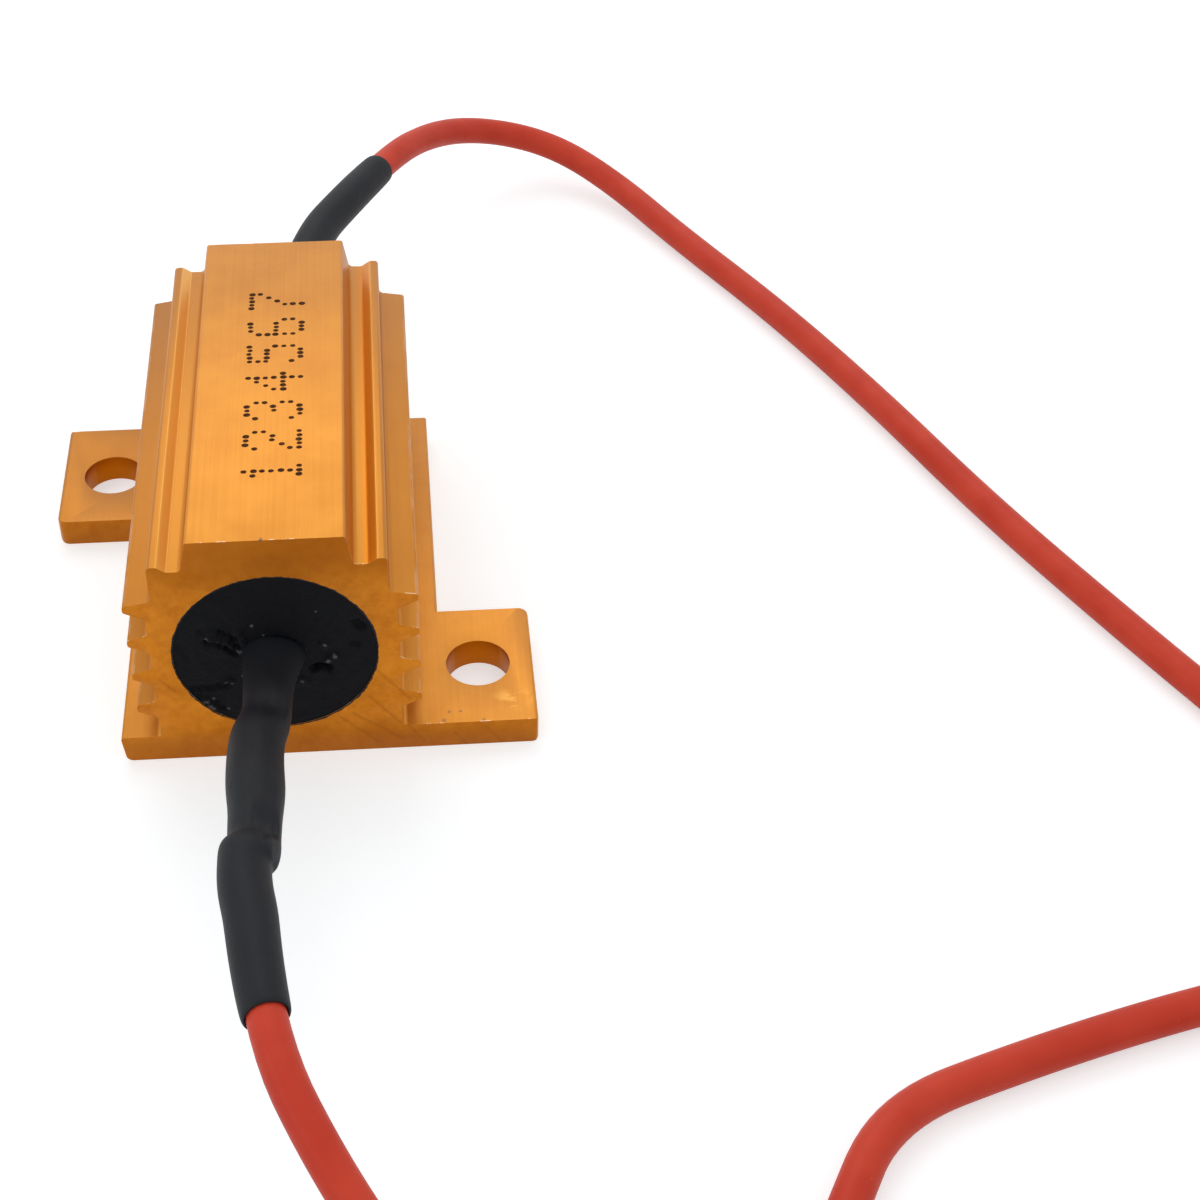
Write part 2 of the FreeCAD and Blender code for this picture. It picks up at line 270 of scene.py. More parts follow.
class Look(Graph):
    def __init__(self, name):
        self.material = bpy.data.materials.new(name)
        self.material.use_nodes = True
        super().__init__(self.material.node_tree)
        self.shader = self.tree.nodes["Principled BSDF"]
        coordinates = self.node("ShaderNodeTexCoord", {}, {}, "Object")
        self.place = self.vector("MULTIPLY", coordinates, (1000,) * 3)     # in millimetres
        self.x, self.y, self.z = self.parts(self.place)

    def noise(self, scale, stretch=(1, 1, 1), detail=3, roughness=0.5, shift=(0, 0, 0)):
        at = self.vector("MULTIPLY", self.vector("ADD", self.place, shift), stretch)
        sockets = {"Vector": at, "Scale": scale, "Detail": detail, "Roughness": roughness}
        return self.node("ShaderNodeTexNoise", {}, sockets)

    def spots(self, scale, stretch=(1, 1, 1)):
        at = self.vector("MULTIPLY", self.place, stretch)
        return self.node("ShaderNodeTexVoronoi", {}, {"Vector": at, "Scale": scale}, "Distance")

    def blend(self, share, a, b):
        return self.node("ShaderNodeMix", {"data_type": "RGBA"}, {0: share, 6: a, 7: b}, 2)

    def bump(self, height, strength, distance):
        sockets = {"Height": height, "Strength": strength, "Distance": distance}
        return self.node("ShaderNodeBump", {}, sockets)

    def finish(self, **values):
        for name, value in values.items():
            socket = self.shader.inputs[name.replace("_", " ")]
            if isinstance(value, Signal):
                self.tree.links.new(value.socket, socket)
            else:
                socket.default_value = value
        return self.material


def highest(signals):
    best, *others = signals
    for other in others:
        best = best.math("MAXIMUM", other)
    return best


def band(signal, rise, fall):  # 1 between two smooth ramps
    return signal.between(*rise) * (1 - signal.between(*fall))


def fromPoint(*offsets):
    squares = [offset * offset for offset in offsets]
    return sum(squares[1:], squares[0]).root()


def colour(red, green, blue):  # screen values from 0 to 255
    return tuple((c / 255) ** 2.2 for c in (red, green, blue)) + (1,)


# Gold anodised aluminium: fine drawn lines along the extrusion, sawn and dulled ends. Part of its
# light and shade is painted into the colour by place.
# Places and sizes are in millimetres. A scratch is (across, up, angle, length), a pit (across,
# along, size). A pair of heights or widths is where a smooth step begins and ends.
gold = {
    "light": colour(217, 144, 52),
    "deep": colour(202, 129, 45),
    # painted shade: the flanks beyond the top strip are darker
    "flankShadeColour": colour(184, 116, 36),
    "shaded": colour(150, 90, 26),
    "valley": colour(206, 136, 46),
    # painted light: the ridges' inner slopes are lighter
    "slopePaintedLight": colour(250, 184, 88),
    # painted shade: a deeper, darker tone in the groove on the right
    "grooveShade": colour(224, 132, 0),
    # painted shade on the top strip's right side
    "stripWallShade": colour(150, 76, 10),
    "cutLight": colour(212, 132, 34),
    "cutDeep": colour(184, 106, 18),
    # painted shade on the sawn ends, high up and low down
    "cutEndShade": colour(160, 88, 12),
    "holeWall": colour(188, 106, 14),
    "scratched": colour(140, 76, 14),
    "rub": colour(246, 178, 80),
    # bare metal in nicks beside the sawn ends, partly painted glints
    "bare": colour(250, 226, 192),
    # worn fin noses, with a painted sheen along them
    "wornAndGlinting": colour(216, 174, 148),
    "chipped": colour(96, 82, 74),
    "stain": colour(20, 18, 18),
    "halfLength": 13.75,
    "stripEdge": 4.25,      # the top strip's half width
    "boreHeight": 7.55,
    "boreRadius": 5.4,
    "holeAt": (10.9, 9.15),
    "holeRadius": 1.8,
    "holeMargin": 0.06,
    "earTop": 2,            # only the ears' faces lie lower than this
    "facing": 0.7,          # how squarely a face looks along an axis to count as facing it
    "noseAt": 7.5,          # the fins' noses lie further out than this
    "noseFrom": 3,          # and higher than this
    "valleyEnd": 5.75,      # across; the valley lies between this and the strip
    "valleyFrom": 13.45,
    "slopeFrom": 13.4,      # up; the ridge and its inner slope lie higher
    "slopeLean": -1.2,      # lower where a face leans towards the strip
    "grooveRise": (4.82, 5.14),
    "grooveFall": (5.5, 5.72),
    "wallRise": (4.0, 4.1),
    "wallFall": (4.16, 4.36),
    "wallFrom": 13.6,
    "wallTo": 15.45,
    "litFrom": (6, 7),      # across; the right flank is painted lighter, with less painted shade
    "litBelow": 11,
    "shadeAcross": (4.5, 10),   # the left side lies in shade
    "shadeAlong": (0, 13),
    "upperCut": (11, 14.5),
    "footCut": 3.2,         # up; a sawn end has painted shade below this, and high up
    "footFade": 2.6,
    "stainSpread": 0.3,
    "stainInset": 0.08,
    "endWear": (0.14, 0.03),  # the worn strip beside a sawn end, with bare nicks and painted glints
    "wearShare": 0.57,
    "scratches": (
        (6.1, 4.95, -53, 3.2), (5.6, 3.05, -53, 2.8), (5.2, 1.8, -39, 3.5),
        (4.2, 1.55, -46, 3.0), (7.2, 1.2, -56, 1.8), (9.7, 0.5, -58, 1.3), (11.6, 0.6, -57, 1.8),
        (-5.9, 5.6, -52, 1.3),
    ),
    "scratchHalfWidth": 0.16,
    "scratchWander": 0.12,
    "pits": (
        (8.8, -13.55, 0.12), (9.1, -12.9, 0.1), (9.75, -12.9, 0.1), (11.0, -13.6, 0.11),
        (-10.3, 9.4, 0.1),
    ),
    "pitRagged": 0.2,
    "chipAt": (-0.2, 15.5),
    "chipSize": 0.13,
    "chipRagged": 0.4,
    "rubAt": (12.7, -12.1),
    "rubReach": (0.3, 1.1),
}


def scratchMarks(look):
    lines = []
    for across, up, angle, length in gold["scratches"]:
        way = (math.cos(math.radians(angle)), math.sin(math.radians(angle)))
        dx = look.x - across
        dz = look.z - up
        along = dx * way[0] + dz * way[1]
        wander = (look.noise(0.8, shift=(2, 2, 7)) - 0.5) * gold["scratchWander"]
        aside = dz * way[0] - dx * way[1] + wander
        line = 1 - aside.size().between(0, gold["scratchHalfWidth"])
        lines.append(line * (along.size() < length / 2))
    return highest(lines)


def holeMarks(look):
    rims = []
    for side in (1, -1):
        dx = look.x - side * gold["holeAt"][0]
        dy = look.y + side * gold["holeAt"][1]
        rims.append(fromPoint(dx, dy) < gold["holeRadius"] + gold["holeMargin"])
    return highest(rims)


def pitMarks(look, ragged):
    pits = []
    for across, along, size in gold["pits"]:
        away = fromPoint(look.x - across, look.y - along)
        pits.append(away + ragged * gold["pitRagged"] < size)
    return highest(pits)


def chipMark(look, ragged):
    dx = look.x - gold["chipAt"][0]
    dy = look.y + gold["halfLength"]
    dz = look.z - gold["chipAt"][1]
    away = (dx * dx + dy * dy * 0.5 + dz * dz).root()
    return away + ragged * gold["chipRagged"] < gold["chipSize"]


def rubMark(look):
    dx = look.x - gold["rubAt"][0]
    dy = look.y - gold["rubAt"][1]
    patch = 1 - (dx * dx * 0.6 + dy * dy).root().between(*gold["rubReach"])
    return patch * look.noise(0.9, (1, 1.8, 1), 4, 0.6, (7, 1, 2)).between(0.42, 0.62)


def goldLook():
    look = Look("goldAluminium")
    facing = look.parts(look.node("ShaderNodeNewGeometry", {}, {}, "Normal"))
    cut = facing[1].size() > gold["facing"]
    upward = facing[2].size() > gold["facing"]
    beside = look.x.size()
    beyondStrip = beside > gold["stripEdge"]
    earTop = upward * (look.z < gold["earTop"])
    drawn = look.noise(1.0, (8, 0.05, 8), 3, 0.55)
    drawnFine = look.noise(1.0, (24, 0.3, 24), 2, 0.6)
    patches = look.noise(0.3, detail=4, roughness=0.6)
    mottle = look.noise(1.6, detail=5, roughness=0.65)
    cloudy = look.noise(0.45, detail=3, roughness=0.5, shift=(1, 6, 3))

    scratch = scratchMarks(look)
    hole = holeMarks(look) * (1 - upward)
    chip = chipMark(look, mottle - 0.5)
    pits = pitMarks(look, mottle - 0.5) * earTop
    rub = rubMark(look) * earTop
    edge = look.noise(1.7, detail=5, roughness=0.7)
    fromBore = fromPoint(look.x, look.z - gold["boreHeight"])
    stain = fromBore - edge * gold["stainSpread"] < gold["boreRadius"] - gold["stainInset"]
    stain = stain * cut
    wearAndGlintNoise = look.noise(1.1, (1, 0.3, 1), 4, 0.75, (3, 0, 8))
    wearStart, wearFull = (gold["halfLength"] - inset for inset in gold["endWear"])
    wornAndGlinting = look.y.size().between(wearStart, wearFull) * wearAndGlintNoise
    nicksAndGlints = (wornAndGlinting > gold["wearShare"]) * (1 - cut)
    noseRubAndGlint = look.noise(0.6, (1, 0.5, 1), 4, 0.7, (9, 2, 5)).between(0.42, 0.66)
    nose = (beside > gold["noseAt"]) * (look.z > gold["noseFrom"]) * (1 - cut)

    litSide = look.x.between(*gold["litFrom"]) * (look.z < gold["litBelow"])
    flankShadeMask = beyondStrip * (look.z > gold["earTop"])
    valley = beyondStrip * (beside < gold["valleyEnd"]) * (look.z > gold["valleyFrom"])
    slopePaintedLight = (facing[0] * look.x < gold["slopeLean"]) * (look.z > gold["slopeFrom"])
    grooveShade = band(look.x, gold["grooveRise"], gold["grooveFall"])
    grooveShade = grooveShade * (look.z > gold["slopeFrom"])
    stripWallShade = band(look.x, gold["wallRise"], gold["wallFall"])
    stripWallShade = stripWallShade * (look.z > gold["wallFrom"]) * (look.z < gold["wallTo"])
    shade = (0 - look.x).between(*gold["shadeAcross"])
    shade = shade * (0.35 + look.y.between(*gold["shadeAlong"]) * 0.25)

    cutTone = mottle * 0.5 + cloudy * 0.5
    cutBody = look.blend(cutTone.between(0.32, 0.68), gold["cutDeep"], gold["cutLight"])
    # painted shade on the sawn ends, high up and low down
    high = look.z.between(*gold["upperCut"]) * 0.7
    low = (gold["footCut"] - look.z).between(0, gold["footFade"]) * 0.6
    cutBody = look.blend(highest((high, low)), cutBody, gold["cutEndShade"])
    cutBody = look.blend(scratch * 0.3, cutBody, gold["scratched"])
    tone = drawn * 0.3 + patches * 0.55 + drawnFine * 0.15
    body = look.blend(tone.between(0.3, 0.7), gold["deep"], gold["light"])
    layers = (              # how much of each layer shows, and its colour
        # painted shade on the flanks; less on the right flank, which is painted lighter
        (flankShadeMask * (0.6 - litSide * 0.5), gold["flankShadeColour"]),
        # the valley keeps about the body's own tone, without the flanks' painted shade
        (valley * 0.75, gold["valley"]),
        # painted light on the ridges' inner slopes
        (slopePaintedLight * 0.85, gold["slopePaintedLight"]),
        # painted shade in the groove on the right
        (grooveShade * 0.9, gold["grooveShade"]),
        # painted shade on the top strip's right side
        (stripWallShade * 0.5, gold["stripWallShade"]),
        (shade, gold["shaded"]),
        (rub * 0.7, gold["rub"]),
        (cut, cutBody),
        (hole, gold["holeWall"]),
        # worn fin noses, with a painted sheen along them
        (nose * noseRubAndGlint * 0.42, gold["wornAndGlinting"]),
        # bare nicks beside the sawn ends, partly painted glints
        (nicksAndGlints * 0.7, gold["bare"]),
        (highest((chip, pits * 0.6)) * 0.8, gold["chipped"]),
        (stain, gold["stain"]),
    )
    for share, tint in layers:
        body = look.blend(share, body, tint)
    height = drawn * 0.4 + drawnFine * 0.4
    height = height * (1 - cut) + (mottle * 0.7 - scratch * 0.5) * cut
    return look.finish(
        Base_Color=body,
        Metallic=0.62 + (cut + hole) * 0.2 - stain * 0.8,
        Roughness=0.36 + drawnFine * 0.1 + cut * 0.12 + stain * 0.3,
        Normal=look.bump(height, 0.3, 0.00003),
    )


# Black moulding compound, dull and uneven, with pale crumbs where it broke and painted glints
potting = {
    "dark": colour(12, 12, 14),
    "light": colour(26, 27, 32),
    "crumbAndGlint": colour(98, 100, 98),
    "crumbAndGlintCore": 0.1,       # share of each crumb's and glint's size that is fully pale
    "crumbAndGlintRagged": 0.3,
    "crumbsAndGlintsAt": (           # across, up, size; some are pale crumbs, some painted glints
        (-3.55, 8.74, 0.2), (-1.97, 7.73, 0.2), (-1.78, 7.8, 0.14), (-1.1, 9.57, 0.14),
        (-1.82, 6.0, 0.16), (-2.76, 5.46, 0.15), (-2.47, 5.5, 0.13), (-3.91, 4.25, 0.22),
        (-3.73, 3.94, 0.2), (-3.53, 4.43, 0.15), (-3.6, 3.75, 0.18), (-2.8, 3.6, 0.13),
        (3.12, 7.18, 0.2), (2.75, 6.88, 0.2), (2.63, 8.04, 0.12), (1.31, 5.44, 0.15),
        (2.28, 10.4, 0.11), (-0.55, 8.9, 0.11),
    ),
}


def pottingLook():
    look = Look("mouldingCompound")
    lumps = look.noise(0.7, detail=5, roughness=0.6)
    grain = look.noise(5, detail=4, roughness=0.7)
    ragged = look.noise(4, detail=4, roughness=0.7, shift=(5, 5, 1)) - 0.5
    ragged = ragged * potting["crumbAndGlintRagged"]
    crumbsAndGlints = []
    for across, up, size in potting["crumbsAndGlintsAt"]:
        away = fromPoint(look.x - across, look.z - up) + ragged
        crumbsAndGlints.append(1 - away.between(size * potting["crumbAndGlintCore"], size))
    # pale crumbs and painted glints on the near end
    crumbAndGlint = highest(crumbsAndGlints) * (look.y < 0)
    dust = (look.spots(2.1) < 0.04) * (look.noise(0.5, shift=(3, 1, 5)) > 0.52)
    body = look.blend(lumps * 0.5 + grain * 0.5, potting["dark"], potting["light"])
    body = look.blend(highest((crumbAndGlint, dust * 0.3)) * 0.8, body, potting["crumbAndGlint"])
    return look.finish(
        Base_Color=body,
        Roughness=0.6 + grain * 0.25,
        Specular_IOR_Level=0.12,
        Normal=look.bump(lumps * 0.6 + grain * 0.4, 0.6, 0.0003),
    )


# Shrunk tube
def sleeveLook():
    look = Look("shrunkTube")
    folds = look.noise(0.9, (1, 0.5, 1), 3, 0.5)
    grain = look.noise(9, detail=3, roughness=0.7)
    body = look.blend(folds * 0.7 + grain * 0.3, colour(17, 19, 23), colour(31, 34, 40))
    return look.finish(
        Base_Color=body,
        Roughness=0.46 + grain * 0.2,
        Specular_IOR_Level=0.26,
        Normal=look.bump(folds + grain * 0.14, 0.35, 0.00016),
    )


# Red insulation
def insulationLook():
    look = Look("redInsulation")
    cloud = look.noise(0.3, detail=3)
    grain = look.noise(3.5, detail=4, roughness=0.7)
    scuff = (look.noise(2.2, detail=5, roughness=0.75, shift=(2, 9, 4)) > 0.68) * 0.25
    body = look.blend(cloud.between(0.3, 0.7), colour(198, 58, 37), colour(209, 68, 46))
    body = look.blend(scuff, body, colour(220, 116, 94))
    return look.finish(
        Base_Color=body,
        Roughness=0.42 + grain * 0.16,
        Specular_IOR_Level=0.25,
        Normal=look.bump(cloud * 0.5 + grain * 0.2, 0.15, 0.0001),
    )


# Metals, ceramic and printing ink
def metalLook(name, light, dark, scale, roughness):
    look = Look(name)
    grain = look.noise(scale, detail=4, roughness=0.65)
    body = look.blend(grain, dark, light)
    return look.finish(
        Base_Color=body,
        Metallic=1.0,
        Roughness=roughness + grain * 0.12,
        Normal=look.bump(grain, 0.2, 0.00003),
    )


def ceramicLook():
    look = Look("whiteCeramic")
    grain = look.noise(4, detail=4, roughness=0.7)
    body = look.blend(grain, colour(214, 210, 200), colour(236, 232, 224))
    return look.finish(
        Base_Color=body,
        Roughness=0.6 + grain * 0.2,
        Normal=look.bump(grain, 0.3, 0.00005),
    )


def inkLook():
    look = Look("printInk")
    grain = look.noise(6, detail=3)
    body = look.blend(grain.between(0.35, 0.7), colour(56, 34, 20), colour(98, 60, 32))
    return look.finish(Base_Color=body, Roughness=0.6 + grain * 0.2, Specular_IOR_Level=0.08)


metals = {
    "resistance_alloy": ("resistanceAlloy", colour(176, 170, 160), colour(140, 134, 126), 3, 0.35),
    "cap_steel": ("capSteel", colour(204, 204, 204), colour(176, 176, 178), 2, 0.25),
    "tinned_terminal": ("tinnedTerminal", colour(214, 213, 208), colour(190, 190, 188), 2, 0.3),
    "solder": ("solder", colour(206, 208, 212), colour(170, 172, 178), 2, 0.3),
    "tinned_strands": ("tinnedStrands", colour(222, 216, 204), colour(186, 178, 166), 3, 0.3),
}
looks = {
    "gold_aluminium": goldLook(),
    "potting": pottingLook(),
    "ceramic": ceramicLook(),
    "shrink_sleeve": sleeveLook(),
    "lead_insulation": insulationLook(),
}
for slot, values in metals.items():
    looks[slot] = metalLook(*values)
slots = {part["node"]: part["material_slot"] for part in frame["record"]["subparts"]}
for name, node in nodes.items():
    node.data.materials.clear()
    node.data.materials.append(looks[slots[name]])
for lead in (leadNear, leadFar):
    lead.data.materials.append(looks["lead_insulation"])
print("materials made")


# Helpers for modelling by hand
def deselectAll():
    if bpy.context.object and bpy.context.object.mode == "EDIT":
        bpy.ops.object.mode_set(mode="OBJECT")
    bpy.ops.object.select_all(action="DESELECT")


def applyAll(piece):
    bpy.context.view_layer.objects.active = piece
    for modifier in list(piece.modifiers):
        bpy.ops.object.modifier_apply(modifier=modifier.name)


def selectNear(piece, centre, reach):
    bpy.ops.mesh.select_all(action="DESELECT")
    bpy.ops.object.mode_set(mode="OBJECT")
    for vertex in piece.data.vertices:
        vertex.select = (vertex.co - centre).length < reach
    bpy.ops.object.mode_set(mode="EDIT")


def copyNode(name):  # the copy is active, in edit mode, with all of its mesh selected
    deselectAll()
    piece = nodes[name].copy()
    piece.data = nodes[name].data.copy()
    bpy.context.scene.collection.objects.link(piece)
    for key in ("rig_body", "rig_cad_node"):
        del piece[key]
    piece.parent = None
    bpy.context.view_layer.objects.active = piece
    piece.select_set(True)
    bpy.ops.object.mode_set(mode="EDIT")
    bpy.ops.mesh.select_all(action="SELECT")
    bpy.ops.mesh.remove_doubles(threshold=shortest)
    return piece


def finishPiece(piece, name, slot, *stoodFor, look=None):
    piece.name = name
    piece.data.name = name
    bpy.ops.object.transform_apply(location=True, rotation=True, scale=True)
    piece.data.materials.clear()
    piece.data.materials.append(look or looks[slot])
    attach(piece, "root")
    if stoodFor:
        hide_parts(*stoodFor)
    print(name, "faces:", len(piece.data.polygons))


# Housing: the CAD shape with its triangles joined, and its sharp edges just broken
housing = {
    "flatAngle": 0.4,
    "edgeBreak": 0.00006,
    "edgeSegments": 2,
    "sharpAngle": 38,
    "smoothAngle": 30,
}


def makeHousing():
    body = copyNode("housing")
    bpy.ops.mesh.dissolve_limited(angle_limit=math.radians(housing["flatAngle"]))
    bpy.ops.object.mode_set(mode="OBJECT")
    bevel = body.modifiers.new("edgeBreak", "BEVEL")
    bevel.width = housing["edgeBreak"]
    bevel.segments = housing["edgeSegments"]
    bevel.limit_method = "ANGLE"
    bevel.angle_limit = math.radians(housing["sharpAngle"])
    applyAll(body)
    bpy.ops.object.shade_smooth_by_angle(angle=math.radians(housing["smoothAngle"]))
    finishPiece(body, "finnedHousing", "gold_aluminium", "housing")


makeHousing()


# Potting: the CAD shape with its two end faces drawn in again as rings, then dented
# Each press is a row of points (across, up), its reach and how deep it goes, in millimetres.
pottingRelief = {
    "radius": 5.4,
    "boreHeight": 7.55,
    "faceAt": 13.7,
    "faceMargin": 0.02,
    "faceDepth": 0.6,
    "rimMargin": 0.05,      # the rim's own points lie further out than this inside the radius
    "pressMargin": 0.1,     # and presses and lumps keep this far inside it
    "ringStep": 0.2,
    "innerRadius": 1.0,
    "lumpSize": 0.0009,
    "lumpHeight": 0.00011,
    "grainSize": 0.0003,
    "grainHeight": 0.00005,
    "cloudDepth": 3,
    "smoothAngle": 34,
    "farMirror": (0.6, 15.6),   # the far end has every second point, turned half round
    "farReach": 1.3,
    "farDepth": 0.6,
    "presses": [
        (((-3.5, 8.5), (-3.26, 8.41), (-2.89, 8.29), (-2.54, 8.06), (-2.3, 7.85), (-2.13, 7.62)),
         0.19, 0.24),
        (((-3.3, 8.75), (-2.95, 8.68), (-2.6, 8.5), (-2.3, 8.2)), 0.18, -0.1),
        (((-2.75, 9.15), (-2.39, 8.93), (-2.11, 8.65), (-1.95, 8.13)), 0.19, 0.22),
        (((-3.7, 9.3), (-3.3, 9.55), (-2.9, 9.5)), 0.26, 0.09),
        (((-1.85, 9.2), (-1.65, 8.75), (-1.6, 8.3)), 0.2, -0.09),
        (((1.95, 6.3), (2.15, 6.42), (2.33, 6.45), (2.55, 6.42), (2.75, 6.28)), 0.26, 0.3),
        (((2.1, 6.35), (2.35, 6.42), (2.6, 6.35)), 0.18, 0.25),
        (((2.75, 6.88), (3.0, 7.1), (3.2, 7.15)), 0.2, -0.12),
        (((2.55, 8.1), (2.7, 7.95)), 0.25, -0.08),
        (((4.4, 9.5), (4.55, 9.3)), 0.28, 0.22),
        (((4.15, 8.05), (4.35, 8.0)), 0.2, 0.12),
        (((-4.5, 5.25), (-4.1, 5.2), (-3.6, 5.25), (-3.1, 5.35), (-2.8, 5.4)), 0.26, 0.16),
        (((-2.85, 5.6), (-2.5, 5.7)), 0.2, -0.1),
        (((-3.95, 4.4), (-3.75, 4.0), (-3.5, 3.8)), 0.22, -0.13),
        (((-4.2, 4.6), (-3.4, 4.1), (-3.1, 3.7)), 0.18, 0.13),
        (((1.3, 5.5), (1.5, 5.3)), 0.25, -0.1),
        (((-4.9, 8.3), (-4.7, 7.7)), 0.3, 0.06),
    ],
}


def selectFlatEnd(piece, side):
    level = (pottingRelief["faceAt"] - pottingRelief["faceMargin"]) * mm
    bpy.ops.object.mode_set(mode="OBJECT")
    for polygon in piece.data.polygons:
        polygon.select = polygon.normal.y * side > 0.99 and polygon.center.y * side > level
    bpy.ops.object.mode_set(mode="EDIT")


def selectRim(piece, centre):
    bpy.ops.mesh.select_all(action="DESELECT")
    bpy.ops.object.mode_set(mode="OBJECT")
    rim = (pottingRelief["radius"] - pottingRelief["rimMargin"]) * mm
    for edge in piece.data.edges:
        ends = [piece.data.vertices[i].co - centre for i in edge.vertices]
        edge.select = all(abs(e.y) < shortest and e.length > rim for e in ends)
    bpy.ops.object.mode_set(mode="EDIT")


def selectFace(piece, side, points, reach):
    level = (pottingRelief["faceAt"] - pottingRelief["faceDepth"]) * mm
    rim = (pottingRelief["radius"] - pottingRelief["pressMargin"]) * mm
    bpy.ops.mesh.select_all(action="DESELECT")
    bpy.ops.object.mode_set(mode="OBJECT")
    for vertex in piece.data.vertices:
        at = vertex.co
        if at.y * side > level:
            near = min(math.hypot(at.x / mm - x, at.z / mm - z) for x, z in points)
            fromMiddle = Vector((at.x, 0, at.z - pottingRelief["boreHeight"] * mm)).length
            vertex.select = near < reach and fromMiddle < rim
    bpy.ops.object.mode_set(mode="EDIT")


def drawRings(piece, side):
    centre = Vector((0, side * pottingRelief["faceAt"], pottingRelief["boreHeight"])) * mm
    bpy.ops.mesh.select_mode(type="FACE")
    selectFlatEnd(piece, side)
    bpy.ops.mesh.delete(type="ONLY_FACE")
    bpy.ops.mesh.select_mode(type="EDGE")
    selectRim(piece, centre)
    radius = pottingRelief["radius"]
    while radius > pottingRelief["innerRadius"]:
        smaller = radius - pottingRelief["ringStep"]
        ratio = (smaller / radius, 1, smaller / radius)
        bpy.ops.mesh.extrude_region_move(TRANSFORM_OT_translate={"value": (0, 0, 0)})
        bpy.ops.transform.resize(value=ratio, center_override=centre)
        radius = smaller
    bpy.ops.mesh.select_non_manifold(extend=False, use_wire=False, use_boundary=True,
                                     use_multi_face=False, use_non_contiguous=False,
                                     use_verts=False)
    bpy.ops.mesh.bridge_edge_loops()


def makePotting():
    fill = copyNode("potting_fill")
    for side in (-1, 1):
        drawRings(fill, side)
    bpy.ops.mesh.select_mode(type="VERT")
    wholeEnd = (((0, pottingRelief["boreHeight"]),), pottingRelief["radius"])
    for side in (-1, 1):
        selectFace(fill, side, *wholeEnd)
        bpy.ops.mesh.subdivide(number_cuts=1)
        selectFace(fill, side, *wholeEnd)
        bpy.ops.object.vertex_group_assign_new()
        fill.vertex_groups.active.name = "end" + str(side)
    mirrorX, mirrorZ = pottingRelief["farMirror"]
    for points, reach, depth in pottingRelief["presses"]:
        selectFace(fill, -1, points, reach)
        bpy.ops.transform.translate(value=(0, depth * mm, 0))
        farPoints = [(mirrorX - x, mirrorZ - z) for x, z in points[::2]]
        selectFace(fill, 1, farPoints, reach * pottingRelief["farReach"])
        bpy.ops.transform.translate(value=(0, -depth * mm * pottingRelief["farDepth"], 0))
    bpy.ops.mesh.select_all(action="SELECT")
    bpy.ops.mesh.normals_make_consistent(inside=False)
    bpy.ops.object.mode_set(mode="OBJECT")
    for label in ("lump", "grain"):
        cloud = bpy.data.textures.new(label + "Clouds", "CLOUDS")
        cloud.noise_scale = pottingRelief[label + "Size"]
        cloud.noise_depth = pottingRelief["cloudDepth"]
        for side in (-1, 1):
            rough = fill.modifiers.new(label, "DISPLACE")
            rough.texture = cloud
            rough.texture_coords = "LOCAL"
            rough.direction = "Y"
            rough.mid_level = 0.5
            rough.strength = pottingRelief[label + "Height"]
            rough.vertex_group = "end" + str(side)
    applyAll(fill)
    bpy.ops.object.shade_smooth_by_angle(angle=math.radians(pottingRelief["smoothAngle"]))
    finishPiece(fill, "pottingFill", "potting", "potting_fill")


makePotting()


